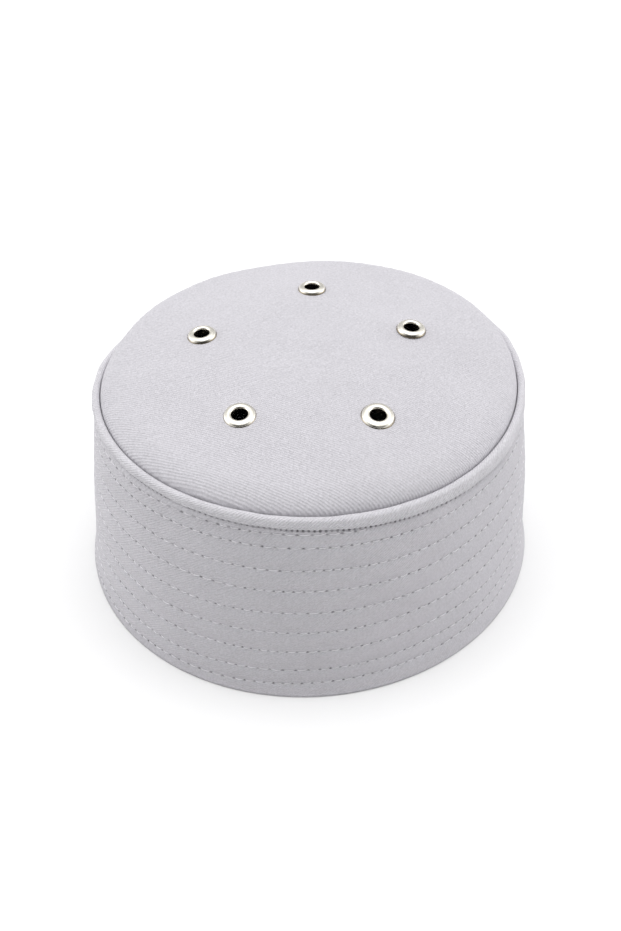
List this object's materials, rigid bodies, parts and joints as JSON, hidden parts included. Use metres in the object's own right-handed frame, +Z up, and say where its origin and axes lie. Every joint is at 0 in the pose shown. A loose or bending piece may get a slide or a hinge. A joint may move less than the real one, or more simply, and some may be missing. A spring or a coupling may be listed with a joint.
{
  "type": "skullcap",
  "caption": "Round brimless cloth cap with a stiff quilted band, a rolled top edge and a low domed crown with metal vent eyelets.",
  "frame": {"origin": "on the surface that the cap stands on, under the middle of its hem", "axes": "+Z up through the crown, -Y towards the front that the picture shows, +X to the viewer's right"},
  "size_m": [0.1884, 0.1792, 0.1005],
  "materials": {
    "band_cloth": "matt twill, quilted in rows",
    "crown_cloth": "matt twill, smooth",
    "nickel": "polished nickel plate"
  },
  "bodies": {
    "root": {"band": "band_cloth", "rolled_edge": "band_cloth", "crown": "crown_cloth", "eyelet_right_back": "nickel", "eyelet_back": "nickel", "eyelet_left_back": "nickel", "eyelet_left_front": "nickel", "eyelet_right_front": "nickel"}
  },
  "joints": []
}
